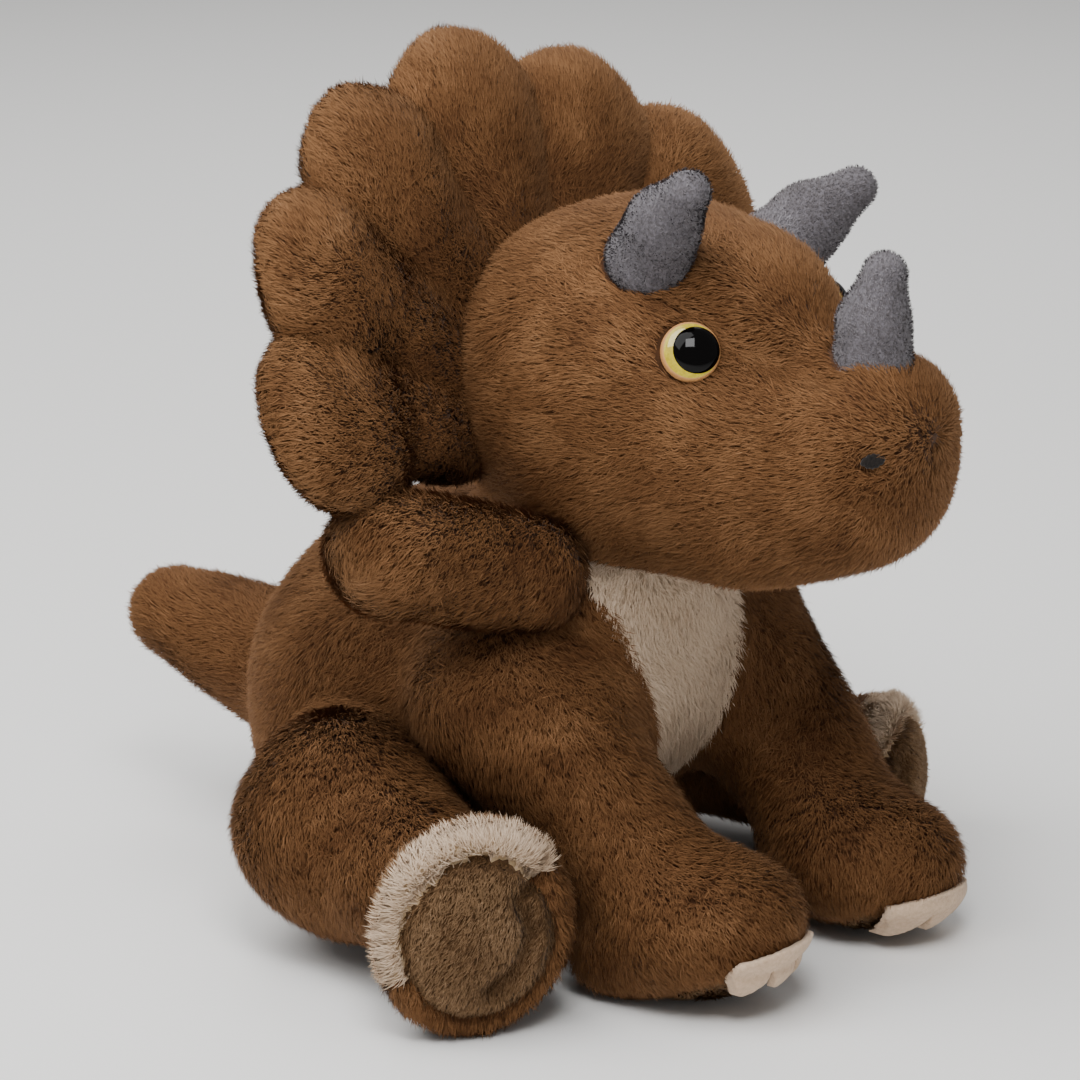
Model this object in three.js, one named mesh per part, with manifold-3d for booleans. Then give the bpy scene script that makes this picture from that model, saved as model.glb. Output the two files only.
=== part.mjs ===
// A sitting plush triceratops, built the way it is sewn: covers as open fabric shells, each
// round its own filling, with a stuffed frill, felt horns and claws, and plastic eyes held by
// washers. Millimetres, +Z up, nose towards -Y, right side of the animal towards -X.
import * as THREE from 'three';
import { mergeVertices } from 'three/addons/utils/BufferGeometryUtils.js';
import Module from 'manifold-3d';

const wasm = await Module();
wasm.setup();

// ---- driving dimensions -------------------------------------------------------------------

const COVER = 3; // plush cover: knitted backing and pressed pile
const FELT = 1.5; // felt of the horns and claws
const GAP = 0.35; // between pieces that touch
const FILLING_GAP = 0.6; // from a cover to the filling inside it
const SOCKET_GAP = 2.6; // round the ball end of a limb, so that its facets can turn

const FINE = [14, 8]; // segments round and along the head and torso
const LIMB = [12, 6]; // the same for the limbs and the frill
const COARSE = [8, 4]; // the same for small pieces and for what only cuts
const HORN_DETAIL = [10, 4]; // round and along a horn
const CURVE_STEPS = 3; // along each curve of a flat outline

const BROWN = 0x7a5230;
const SOLE_BROWN = 0x8a6844;
const CREAM = 0xcdb59b;
const FELT_GREY = 0x85838b;
const FELT_CREAM = 0xdac5ac;
const IRIS_YELLOW = 0xd9c24a;
const BLACK = 0x0c0a09;
const FIBRE_WHITE = 0xe8e6e0;
const NYLON = 0xd8d4cc;
const LINEN = 0xbfae90;

// Lumps are ellipsoids: centre, radii, and a turn about the vertical through the centre.
const SKULL = { centre: [0, -39, 148], radii: [52, 55, 50] };
const CHEEKS = { centre: [0, -72, 138], radii: [42, 38, 39] };
const SNOUT = { centre: [0, -95, 137], radii: [33, 35, 31] };
const NOSE = { centre: [0, -107, 149], radii: [25, 21, 18] };
const BELLY = { centre: [0, 21, 51], radii: [60, 58, 59] };
const CHEST = { centre: [0, -20, 72], radii: [43, 37, 38] };

const NECK = { centre: [0, -22, 104], radius: 28 };
const NOD = 8; // degrees that the head nods each way
const SHOULDER = { centre: [46, -28, 73], radius: 24 };
const ARM_LIFT = 25; // degrees that an arm lifts
const ARM_DROP = 4; // degrees that an arm gives the other way
const HIP = { centre: [64, 9, 35], radius: 30 };
const TAIL_ROOT = { centre: [0, 71, 45], radius: 23 };

// The left foot points straighter ahead than the right one, and stands less tall.
const LEGS = [
  { name: 'right', side: -1, foot: [90, -52, 28], turn: 35, radii: [26, 15, 28] },
  { name: 'left', side: 1, foot: [84, -55, 22], turn: 22, radii: [26, 15, 22] },
];
const ANKLE_RADIUS = 19;
const THIGH_RADIUS = 25; // where the leg leaves the ball of the hip
const HEEL = 14; // from the middle of a foot back to the ankle
const FOOT_SOLE_RIM = 7; // from the edge of a foot to its sole
const BAND_SPAN = { outer: -20, inner: 135 }; // degrees round the left foot from its outer side

const ARMS = [
  { name: 'right', side: -1, wrist: [38, -74, 25], paw: [36, -86, 20] },
  { name: 'left', side: 1, wrist: [38, -74, 25], paw: [35, -84, 20] },
];
const PAW_RADII = [25, 30, 20];
const WRIST_RADIUS = 19;
const PAW_SOLE_RIM = 6; // from the edge of a paw to its sole
const PAW_SOLE_HEIGHT = 7; // that the sole rises from the floor
const CLAW = { width: 32, band: 7, point: 5, height: 12, depth: 12, clearance: 0.5 };

const TAIL_TIP = { centre: [-8, 119, 58], radius: 13.5 };

const FRILL = { centre: [0, -23, 140], halfWidth: 117, height: 106, lean: 33, lobes: 9, step: 27 };
const FRILL_SWEEP = 8; // that a lobe at the side stands further back than the one at the crown
// A lobe runs from an inner to an outer share of the way to the frill's rim.
const LOBE = { inner: 0.42, outer: 0.79, innerRadius: 17, outerRadius: 25, flatness: 0.42 };
const LOBE_SEAM = 0.15; // degrees that a lobe keeps back from the line it shares with the next

const HORN_TIP_RADIUS = 5.5;
const HORNS = [
  { name: 'brow_horn_right', base: [-26, -56, 184], tip: [-32, -75, 208], baseRadius: 12 },
  { name: 'brow_horn_left', base: [24, -61, 180], tip: [45, -72, 196], baseRadius: 12 },
  { name: 'nose_horn', base: [0, -109, 161], tip: [0, -112, 187], baseRadius: 10.5 },
];

const EYE = { azimuth: 46, height: 25, irisRadius: 7.5, pupilRadius: 5.7, shankRadius: 1.8 };
// The iris disc sits into the pile on its shank, the pupil on the disc, the washer inside.
const IRIS = { back: -1, front: 0.8, bevel: 0.6 };
const PUPIL = { shoulder: 0.9, crown: 1.8, top: 2.2 }; // heights of the dome over the iris disc
const WASHER = { outer: -COVER - 2.2, inner: -COVER - 3.8, radius: 6.2 };
const SHANK_END = -10;
const EYE_OPENING = 8; // that the place cut for the eye reaches out of the cover
const NOSTRIL = { azimuth: 40, height: 21, radii: [3.4, 3.4, 2.2] };

// The bib's outline by height over the floor: half widths at its top, waist and round end.
const BIB = { top: 112, waist: 82, bottom: 26, topHalf: 33, waistHalf: 21, bottomHalf: 10 };
const PELLET_BAG = { centre: [0, 21, 12], radii: [26, 28, 16] };

// ---- solids ---------------------------------------------------------------------------------

function solid(geometry) {
  const bare = geometry.clone();
  bare.deleteAttribute('normal');
  bare.deleteAttribute('uv');
  const merged = mergeVertices(bare, 1e-4);
  const mesh = new wasm.Mesh({
    numProp: 3,
    vertProperties: new Float32Array(merged.attributes.position.array),
    triVerts: new Uint32Array(merged.index.array),
  });
  return new wasm.Manifold(mesh);
}

function geometryOf(body) {
  const mesh = body.getMesh();
  const geometry = new THREE.BufferGeometry();
  geometry.setAttribute('position', new THREE.BufferAttribute(mesh.vertProperties, 3));
  geometry.setIndex(new THREE.BufferAttribute(mesh.triVerts, 1));
  return geometry;
}

function joined(bodies) {
  return bodies.reduce((sum, body) => sum.add(body));
}

function without(body, cutters) {
  return cutters.reduce((rest, cutter) => rest.subtract(cutter), body);
}

// The biggest of the bodies that a cut leaves: its crumbs fall away.
function trimmed(body) {
  return body.decompose().sort((a, b) => b.volume() - a.volume())[0];
}

function radians(degrees) {
  return THREE.MathUtils.degToRad(degrees);
}

function placed(geometry, centre, rotation = new THREE.Quaternion()) {
  const place = new THREE.Matrix4();
  place.compose(new THREE.Vector3(...centre), rotation, new THREE.Vector3(1, 1, 1));
  return geometry.clone().applyMatrix4(place);
}

function turnAbout(axis, degrees) {
  return new THREE.Quaternion().setFromAxisAngle(new THREE.Vector3(...axis), radians(degrees));
}

function pointingAlong(direction) {
  const up = new THREE.Vector3(0, 0, 1);
  return new THREE.Quaternion().setFromUnitVectors(up, new THREE.Vector3(...direction).normalize());
}

function lump({ centre, radii, turn = 0 }, grow = 0, detail = FINE) {
  const ball = new THREE.SphereGeometry(1, ...detail).rotateX(Math.PI / 2);
  ball.scale(...radii.map((radius) => radius + grow));
  return solid(placed(ball, centre, turnAbout([0, 0, 1], turn)));
}

function ball({ centre, radius }, grow = 0, detail = FINE) {
  return lump({ centre, radii: [radius, radius, radius] }, grow, detail);
}

// A round-ended taper from one ball to another.
function taper(from, to, grow = 0, detail = LIMB) {
  const start = new THREE.Vector3(...from.centre);
  const along = new THREE.Vector3(...to.centre).sub(start);
  const slope = Math.asin((from.radius - to.radius) / along.length());
  const cap = Math.round(detail[1] / 2);
  const profile = [];
  const arc = (radius, height, first, last) => {
    for (let i = 0; i <= cap; i += 1) {
      const angle = first + ((last - first) * i) / cap;
      const across = Math.abs(Math.cos(angle)) < 1e-9 ? 0 : radius * Math.cos(angle);
      profile.push(new THREE.Vector2(across, height + radius * Math.sin(angle)));
    }
  };
  arc(from.radius + grow, 0, -Math.PI / 2, slope);
  arc(to.radius + grow, along.length(), slope, Math.PI / 2);
  const lathe = new THREE.LatheGeometry(profile, detail[0]).rotateX(Math.PI / 2);
  return solid(placed(lathe, from.centre, pointingAlong(along.toArray())));
}

function block(size, centre, rotation) {
  return solid(placed(new THREE.BoxGeometry(...size), centre, rotation));
}

// What stands above a level floor.
function above(body, height) {
  const room = 1000;
  return body.subtract(block([room, room, room], [0, 0, height - room / 2]));
}

// A flat outline pushed along its own normal, from one depth to another.
function prism(shape, centre, rotation, near, far) {
  const depth = far - near;
  const options = { depth, bevelEnabled: false, curveSegments: CURVE_STEPS };
  const extruded = new THREE.ExtrudeGeometry(shape, options);
  return solid(placed(extruded.translate(0, 0, near), centre, rotation));
}

function ellipse(across, along, sides = 10) {
  const shape = new THREE.Shape();
  shape.absellipse(0, 0, across, along, 0, 2 * Math.PI);
  return new THREE.Shape(shape.getPoints(sides / 2).slice(0, -1));
}

function mirrored([x, y, z], side) {
  return [side * x, y, z];
}

// The direction that faces forward, turned sideways by an azimuth and up by a height.
function facing(azimuth, height) {
  const level = Math.cos(radians(height));
  const [across, ahead] = [Math.sin(radians(azimuth)), Math.cos(radians(azimuth))];
  return [level * across, -level * ahead, Math.sin(radians(height))];
}

// The point of an ellipsoid whose normal has a given direction.
function surfacePoint({ centre, radii }, normal) {
  const reach = Math.hypot(...normal.map((part, i) => part * radii[i]));
  return centre.map((start, i) => start + (normal[i] * radii[i] ** 2) / reach);
}

// ---- the assembly ------------------------------------------------------------------------------

const dinosaur = new THREE.Group();

function piece(name, body, color, roughness) {
  const material = new THREE.MeshStandardMaterial({ color, roughness, metalness: 0 });
  const mesh = new THREE.Mesh(geometryOf(trimmed(body)), material);
  mesh.name = name;
  dinosaur.add(mesh);
}

function plush(name, body, color = BROWN) {
  piece(name, body, color, 0.95);
}

function fibre(name, body) {
  piece(name, body, FIBRE_WHITE, 1);
}

// A panel of another cloth let into a cover: the cover keeps a seam's gap all round it.
function letIn(cover, shapeOf, centre, rotation, near, far) {
  const panel = cover.intersect(prism(shapeOf(0), centre, rotation, near, far));
  const rest = cover.subtract(prism(shapeOf(GAP), centre, rotation, near - GAP, far));
  return { panel, rest };
}

// ---- keep-outs that the limbs and the head need as they move -------------------------------------

function shoulderAt(side) {
  return { centre: mirrored(SHOULDER.centre, side), radius: SHOULDER.radius };
}

function armLumps(arm, grow) {
  const wrist = { centre: mirrored(arm.wrist, arm.side), radius: WRIST_RADIUS };
  const paw = { centre: mirrored(arm.paw, arm.side), radii: PAW_RADII };
  return joined([taper(shoulderAt(arm.side), wrist, grow), lump(paw, grow, LIMB)]);
}

function turned(body, pivot, axis, degrees) {
  const [x, y, z] = pivot;
  const spin = axis.map((part) => part * degrees);
  return body.translate([-x, -y, -z]).rotate(spin).translate(pivot);
}

// Where an arm swings past the chest, about a sideways axis through the shoulder.
function armRoom(side) {
  const shoulder = shoulderAt(side);
  const wrist = { centre: mirrored(ARMS[0].wrist, side), radius: WRIST_RADIUS };
  const arm = taper(shoulder, wrist, 2 * SOCKET_GAP, COARSE);
  return joined([ARM_LIFT, ARM_LIFT / 2, 0, -ARM_DROP].map(
    (lift) => turned(arm, shoulder.centre, [-1, 0, 0], lift),
  ));
}

function skullRoom() {
  const skull = lump(SKULL, SOCKET_GAP);
  return joined([-NOD, NOD].map((nod) => turned(skull, NECK.centre, [1, 0, 0], nod)));
}

function hipAt(side) {
  return { centre: mirrored(HIP.centre, side), radius: HIP.radius };
}

function legLumps(leg, grow) {
  const foot = mirrored(leg.foot, leg.side);
  const turn = leg.side * leg.turn;
  const back = facing(turn, 0).map((part) => -part * HEEL);
  const ankle = { centre: foot.map((part, i) => part + back[i]), radius: ANKLE_RADIUS };
  const hip = hipAt(leg.side);
  return joined([
    ball(hip, grow, LIMB),
    taper({ centre: hip.centre, radius: THIGH_RADIUS }, ankle, grow),
    lump({ centre: foot, radii: leg.radii, turn }, grow, LIMB),
  ]);
}

// ---- torso -------------------------------------------------------------------------------------

const bibTurn = turnAbout([1, 0, 0], 90);

// The cream bib: broad under the chin, narrowing to a round end low between the arms.
function bib(grow) {
  const { top, waist, bottom } = BIB;
  const halves = [BIB.topHalf, BIB.waistHalf, BIB.bottomHalf];
  const [topHalf, waistHalf, bottomHalf] = halves.map((half) => half + grow);
  const shape = new THREE.Shape();
  shape.moveTo(-topHalf, top);
  shape.quadraticCurveTo(-waistHalf, waist, -bottomHalf, bottom);
  shape.quadraticCurveTo(0, bottom - bottomHalf, bottomHalf, bottom);
  shape.quadraticCurveTo(waistHalf, waist, topHalf, top);
  return shape;
}

function torso() {
  const sockets = [
    ball(NECK, SOCKET_GAP),
    ball(hipAt(-1), SOCKET_GAP),
    ball(hipAt(1), SOCKET_GAP),
    ball(TAIL_ROOT, SOCKET_GAP),
    armRoom(-1),
    armRoom(1),
    skullRoom(),
  ];
  const outer = above(joined([lump(BELLY), lump(CHEST)]), 0);
  const hollow = above(joined([lump(BELLY, -COVER), lump(CHEST, -COVER)]), COVER);
  const cover = without(outer.subtract(hollow), sockets);
  const { panel, rest } = letIn(cover, bib, [0, 0, 0], bibTurn, 24, 90);

  const inset = -COVER - FILLING_GAP;
  const stuffing = above(joined([lump(BELLY, inset), lump(CHEST, inset)]), COVER + GAP);
  const filling = without(stuffing, [...sockets, lump(PELLET_BAG, GAP, COARSE)]);

  plush('torso_cover', rest);
  plush('belly_bib', panel, CREAM);
  fibre('torso_filling', filling);
  piece('pellet_bag', above(lump(PELLET_BAG, 0, COARSE), COVER + GAP), LINEN, 0.9);
  fibre('neck_filling', ball(NECK));
}

// ---- head --------------------------------------------------------------------------------------

function eyePlace(side) {
  const normal = facing(side * EYE.azimuth, EYE.height);
  return { normal, point: surfacePoint(SKULL, normal), rotation: pointingAlong(normal) };
}

function rod(radius, near, far, { point, rotation }, sides = 12) {
  const cylinder = new THREE.CylinderGeometry(radius, radius, far - near, sides).rotateX(Math.PI / 2);
  return solid(placed(cylinder.translate(0, 0, (near + far) / 2), point, rotation));
}

function lathed(points, { point, rotation }, sides = 12) {
  const profile = points.map(([across, height]) => new THREE.Vector2(across, height));
  const lathe = new THREE.LatheGeometry(profile, sides).rotateX(Math.PI / 2);
  return solid(placed(lathe, point, rotation));
}

function eye(name, side) {
  const place = eyePlace(side);
  const { irisRadius, pupilRadius, shankRadius } = EYE;
  const iris = lathed([
    [0, SHANK_END],
    [shankRadius, SHANK_END],
    [shankRadius, IRIS.back],
    [irisRadius, IRIS.back],
    [irisRadius, IRIS.front - IRIS.bevel],
    [irisRadius - IRIS.bevel, IRIS.front],
    [0, IRIS.front],
  ], place);
  const rise = IRIS.front + GAP;
  const pupil = lathed([
    [0, rise],
    [pupilRadius, rise],
    [pupilRadius * 0.93, rise + PUPIL.shoulder],
    [pupilRadius * 0.6, rise + PUPIL.crown],
    [0, rise + PUPIL.top],
  ], place);
  const hole = shankRadius + GAP;
  const washer = lathed([
    [hole, WASHER.inner],
    [WASHER.radius, WASHER.inner],
    [WASHER.radius, WASHER.outer],
    [hole, WASHER.outer],
    [hole, WASHER.inner],
  ], place);
  piece(`eye_iris_${name}`, iris, IRIS_YELLOW, 0.25);
  piece(`eye_pupil_${name}`, pupil, BLACK, 0.08);
  piece(`eye_washer_${name}`, washer, NYLON, 0.5);
}

function eyeRoom(side) {
  const place = eyePlace(side);
  return [
    rod(EYE.irisRadius + GAP, IRIS.back - GAP, EYE_OPENING, place),
    rod(EYE.shankRadius + GAP, SHANK_END - 1, 0, place),
  ];
}

function washerRoom(side) {
  return rod(WASHER.radius + GAP, SHANK_END - 1, 0, eyePlace(side));
}

function headLumps(grow = 0) {
  return joined([SKULL, CHEEKS, SNOUT, NOSE].map((part) => lump(part, grow)));
}

function head() {
  const outer = headLumps();
  const hollow = headLumps(-COVER);
  const neckRoom = ball(NECK, SOCKET_GAP);
  const cover = without(outer.subtract(hollow), [neckRoom, ...eyeRoom(-1), ...eyeRoom(1)]);
  plush('head_cover', cover);
  const stuffing = headLumps(-COVER - FILLING_GAP);
  fibre('head_filling', without(stuffing, [neckRoom, washerRoom(-1), washerRoom(1)]));
  for (const [name, side] of [['right', -1], ['left', 1]]) {
    eye(name, side);
    nostril(`nostril_${name}`, side);
  }
}

// A satin-stitched oval standing just proud of the snout.
function nostril(name, side) {
  const normal = facing(side * NOSTRIL.azimuth, NOSTRIL.height);
  const stitched = lump({ centre: surfacePoint(SNOUT, normal), radii: NOSTRIL.radii }, 0, COARSE);
  piece(name, stitched.subtract(headLumps(GAP)), BLACK, 0.6);
}

// ---- horns -------------------------------------------------------------------------------------

function horn({ name, base, tip, baseRadius }) {
  const ends = [
    { centre: base, radius: baseRadius },
    { centre: tip, radius: HORN_TIP_RADIUS },
  ];
  const scalp = headLumps(GAP);
  const felt = taper(...ends, 0, HORN_DETAIL).subtract(taper(...ends, -FELT, HORN_DETAIL));
  piece(name, felt.subtract(scalp), FELT_GREY, 0.95);
  fibre(`${name}_filling`, taper(...ends, -FELT - GAP, HORN_DETAIL).subtract(scalp));
}

// ---- frill -------------------------------------------------------------------------------------

const frillUp = [0, Math.sin(radians(FRILL.lean)), Math.cos(radians(FRILL.lean))];

// A point of the frill's plane: an angle from the crown, positive towards the left side, and a
// share of the way out to the rim.
function frillPoint(angle, share) {
  const across = FRILL.halfWidth * share * Math.sin(radians(angle));
  const up = FRILL.height * share * Math.cos(radians(angle));
  return [across, up];
}

const frillTurn = turnAbout([1, 0, 0], 90 - FRILL.lean);

// The slice of the frill that one lobe may fill.
function frillWedge(angle) {
  const [start, reach, depth] = [0.02, 1.6, 40];
  const half = FRILL.step / 2 - LOBE_SEAM;
  const outline = new THREE.Shape();
  outline.moveTo(...frillPoint(angle, start));
  outline.lineTo(...frillPoint(angle - half, reach));
  outline.lineTo(...frillPoint(angle + half, reach));
  return prism(outline, FRILL.centre, frillTurn, -depth, depth);
}

function frillLobe(name, angle) {
  const [innerX, innerUp] = frillPoint(angle, LOBE.inner);
  const [outerX, outerUp] = frillPoint(angle, LOBE.outer);
  const inner = { centre: [innerX, innerUp, 0], radius: LOBE.innerRadius };
  const outer = { centre: [outerX, outerUp, 0], radius: LOBE.outerRadius };
  const round = geometryOf(taper(inner, outer));
  round.scale(1, 1, LOBE.flatness);
  const [x, y, z] = FRILL.centre;
  const back = FRILL_SWEEP * (1 - Math.cos(radians(angle)));
  const petal = solid(placed(round, [x, y + back, z], frillTurn));
  const body = petal.intersect(frillWedge(angle)).subtract(lump(SKULL, GAP));
  plush(name, body);
}

function frill() {
  frillLobe('frill_lobe_crown', 0);
  for (let i = 1; i <= (FRILL.lobes - 1) / 2; i += 1) {
    frillLobe(`frill_lobe_left_${i}`, i * FRILL.step);
    frillLobe(`frill_lobe_right_${i}`, -i * FRILL.step);
  }
}

// ---- arms --------------------------------------------------------------------------------------

// The three-pointed claw, laid flat: a straight root and three round points below it.
function clawOutline(width, band, point) {
  const shape = new THREE.Shape();
  const toe = width / 3;
  shape.moveTo(-width / 2, band);
  for (let i = 0; i < 3; i += 1) {
    const left = -width / 2 + i * toe;
    shape.lineTo(left, 0);
    shape.quadraticCurveTo(left + toe * 0.1, -point, left + toe / 2, -point);
    shape.quadraticCurveTo(left + toe * 0.9, -point, left + toe, 0);
  }
  shape.lineTo(width / 2, band);
  return shape;
}

function arm(limb) {
  const { name, side } = limb;
  const paw = mirrored(limb.paw, side);
  const outer = above(armLumps(limb, 0), 0);
  const hollow = above(armLumps(limb, -COVER), COVER);
  const [x, y, z] = shoulderAt(side).centre;
  const mouth = { centre: [x - side * SHOULDER.radius, y, z], radius: SHOULDER.radius * 0.55 };
  const cover = outer.subtract(hollow).subtract(ball(mouth, 0, COARSE));
  const [across, along] = PAW_RADII.map((radius) => radius - PAW_SOLE_RIM);
  const soleShape = (grow) => ellipse(across + grow, along + grow);
  const { panel, rest } = letIn(cover, soleShape, [paw[0], paw[1], 0], undefined, -1, PAW_SOLE_HEIGHT);

  const stretch = [paw[0], paw[1] - PAW_RADII[1] + CLAW.depth, CLAW.height];
  const slab = prism(clawOutline(CLAW.width, CLAW.band, CLAW.point), stretch, bibTurn, 0, 40);
  const front = lump({ centre: paw, radii: PAW_RADII }, FELT + GAP);
  const claw = front.subtract(armLumps(limb, GAP)).intersect(slab);

  plush(`arm_cover_${name}`, rest);
  plush(`paw_sole_${name}`, panel, SOLE_BROWN);
  piece(`paw_claws_${name}`, above(claw, CLAW.clearance), FELT_CREAM, 0.95);
  fibre(`arm_filling_${name}`, above(armLumps(limb, -COVER - FILLING_GAP), COVER + GAP));
}

// ---- legs --------------------------------------------------------------------------------------

// The cream toe band: a crescent round the top and outer edge of the foot.
function crescent({ side, radii }, grow) {
  const [across, , up] = radii;
  const [outer, inner] = [4, -FOOT_SOLE_RIM - grow];
  const ends = [BAND_SPAN.outer, BAND_SPAN.inner].map((angle) => (side > 0 ? angle : 180 - angle));
  const first = radians(Math.min(...ends)) - grow / up;
  const last = radians(Math.max(...ends)) + grow / up;
  const shape = new THREE.Shape();
  shape.absellipse(0, 0, across + outer, up + outer, first, last);
  shape.absellipse(0, 0, across + inner, up + inner, last, first, true);
  return shape;
}

function leg(limb) {
  const { name, side } = limb;
  const foot = mirrored(limb.foot, side);
  const outer = above(legLumps(limb, 0), 0);
  const hollow = above(legLumps(limb, -COVER), COVER);
  const [x, y, z] = hipAt(side).centre;
  const mouth = { centre: [x - side * HIP.radius, y, z], radius: HIP.radius * 0.5 };
  const cover = outer.subtract(hollow).subtract(ball(mouth, 0, COARSE));

  const forward = turnAbout([0, 0, 1], side * limb.turn).multiply(turnAbout([1, 0, 0], 90));
  const [across, thick, up] = limb.radii;
  const soleShape = (grow) => ellipse(across - FOOT_SOLE_RIM + grow, up - FOOT_SOLE_RIM + grow);
  const soled = letIn(cover, soleShape, foot, forward, 2, thick + 5);
  const banded = letIn(soled.rest, (grow) => crescent(limb, grow), foot, forward, -4, thick + 5);

  plush(`leg_cover_${name}`, banded.rest);
  plush(`foot_sole_${name}`, soled.panel, SOLE_BROWN);
  plush(`toe_band_${name}`, banded.panel, CREAM);
  fibre(`leg_filling_${name}`, above(legLumps(limb, -COVER - FILLING_GAP), COVER + GAP));
}

// ---- tail --------------------------------------------------------------------------------------

function tail() {
  const outer = taper(TAIL_ROOT, TAIL_TIP);
  const hollow = taper(TAIL_ROOT, TAIL_TIP, -COVER);
  const [x, y, z] = TAIL_ROOT.centre;
  const mouth = { centre: [x, y - TAIL_ROOT.radius, z], radius: TAIL_ROOT.radius * 0.6 };
  plush('tail_cover', outer.subtract(hollow).subtract(ball(mouth, 0, COARSE)));
  fibre('tail_filling', taper(TAIL_ROOT, TAIL_TIP, -COVER - FILLING_GAP));
}

torso();
head();
HORNS.forEach(horn);
frill();
ARMS.forEach(arm);
LEGS.forEach(leg);
tail();

export default dinosaur;
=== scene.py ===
"""The looks of a sitting plush triceratops: furred skins, felt horns and claws, and shiny eyes.

Shapes are worked out in millimetres as distance fields and turned into even meshes, which are
covered with a short pile of separate strands. The nose points to -Y, the animal's right side to -X.
"""

import itertools
import math

import bpy
import numpy as np
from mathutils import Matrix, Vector


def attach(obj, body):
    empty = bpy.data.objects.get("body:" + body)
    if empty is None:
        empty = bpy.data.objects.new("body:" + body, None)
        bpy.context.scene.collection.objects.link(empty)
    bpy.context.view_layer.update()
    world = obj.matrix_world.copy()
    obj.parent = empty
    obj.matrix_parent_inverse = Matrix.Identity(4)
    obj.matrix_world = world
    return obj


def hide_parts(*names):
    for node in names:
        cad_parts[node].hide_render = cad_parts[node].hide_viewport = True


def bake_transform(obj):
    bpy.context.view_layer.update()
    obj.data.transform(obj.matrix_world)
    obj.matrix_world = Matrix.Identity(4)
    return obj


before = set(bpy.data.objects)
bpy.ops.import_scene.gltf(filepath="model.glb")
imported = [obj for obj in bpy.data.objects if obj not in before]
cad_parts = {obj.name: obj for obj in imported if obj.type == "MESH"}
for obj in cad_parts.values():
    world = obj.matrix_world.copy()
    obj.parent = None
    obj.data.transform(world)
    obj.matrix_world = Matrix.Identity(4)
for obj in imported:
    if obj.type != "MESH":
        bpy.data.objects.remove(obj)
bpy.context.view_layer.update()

MM = 0.001
INSET = 2.6  # from the outside of a CAD cover to the skin that the pile stands on
SIDES = {"right": -1, "left": 1}


# ---- fields: the signed distance, near enough, from points to a shape's surface -----------------


def length(vectors):
    return np.sqrt((vectors * vectors).sum(axis=1))


def unit(vectors):
    return vectors / np.maximum(length(vectors), 1e-9)[:, None]


def mirrored(point, side):
    return (side * point[0], point[1], point[2])


def turned_axes(degrees):
    """Rows are the sideways, forward-and-back and upright axes of a shape turned about the vertical."""
    c, s = math.cos(math.radians(degrees)), math.sin(math.radians(degrees))
    return np.array([[c, s, 0], [-s, c, 0], [0, 0, 1]])


def raised_axes(degrees):
    """Rows are the axes of a shape whose front is raised from the floor."""
    c, s = math.cos(math.radians(degrees)), math.sin(math.radians(degrees))
    return np.array([[1, 0, 0], [0, c, -s], [0, s, c]])


def ellipsoid(centre, radii, axes=None):
    centre = np.array(centre, float)
    radii = np.array(radii, float)
    axes = np.eye(3) if axes is None else axes

    def field(points):
        local = (points - centre) @ axes.T
        near = length(local / radii)
        steep = length(local / radii**2)
        return near * (near - 1) / np.maximum(steep, 1e-9)

    return field


def ball(centre, radius):
    centre = np.array(centre, float)
    return lambda points: length(points - centre) - radius


def taper(start, start_radius, end, end_radius):
    start = np.array(start, float)
    along = np.array(end, float) - start

    def field(points):
        share = np.clip((points - start) @ along / (along @ along), 0, 1)
        axis = start + share[:, None] * along
        return length(points - axis) - (start_radius + share * (end_radius - start_radius))

    return field


def melted(fields, softness):
    """The union of shapes, with creases filled over about `softness` millimetres."""

    def field(points):
        result = fields[0](points)
        for other in fields[1:]:
            value = other(points)
            near = np.maximum(softness - np.abs(result - value), 0) / softness
            result = np.minimum(result, value) - near * near * softness / 4
        return result

    return field


def common(*fields):
    return lambda points: np.maximum.reduce([field(points) for field in fields])


def grown(field, amount):
    return lambda points: field(points) - amount


def bump(away):
    """A smooth rise from 0, far away, to 1."""
    return np.exp(-away * away)


def dented(field, spot, depth, width):
    """A soft dimple at a spot."""
    spot = np.array(spot, float)
    return lambda points: field(points) + depth * bump(length(points - spot) / width)


def line(path):
    """The distance to a line along a path of points."""
    stretches = [taper(start, 0, end, 0) for start, end in zip(path, path[1:])]
    return lambda points: np.minimum.reduce([stretch(points) for stretch in stretches])


def creased(field, path, depth, width):
    """A soft valley along a path of points."""
    from_path = line(path)
    return lambda points: field(points) + depth * bump(from_path(points) / width)


def waves(points, size, seed):
    """Smooth noise from -1 to 1 whose lumps are about `size` millimetres across."""
    rng = np.random.default_rng(seed)
    total = np.zeros(len(points))
    count = 9
    for _ in range(count):
        direction = rng.normal(size=3)
        direction *= math.pi / size / np.linalg.norm(direction) * rng.uniform(0.6, 1.4)
        total += np.sin(points @ direction + rng.uniform(0, 2 * math.pi))
    return total / math.sqrt(count)


def stuffed(field, seed, swell=0.5, size=22):
    """The unevenness of hand filling."""
    return lambda points: field(points) + swell * waves(points, size, seed)


def gradient(field, points):
    """The way straight out of the shape at each point."""
    step = 0.4
    slope = np.empty_like(points)
    for axis in range(3):
        shift = np.zeros(3)
        shift[axis] = step
        slope[:, axis] = field(points + shift) - field(points - shift)
    return unit(slope)


# ---- meshes from fields ---------------------------------------------------------------------


def settle(field, points, rounds):
    """Points moved onto the field's surface."""
    for _ in range(rounds):
        points = points - gradient(field, points) * field(points)[:, None]
    return points


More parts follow.
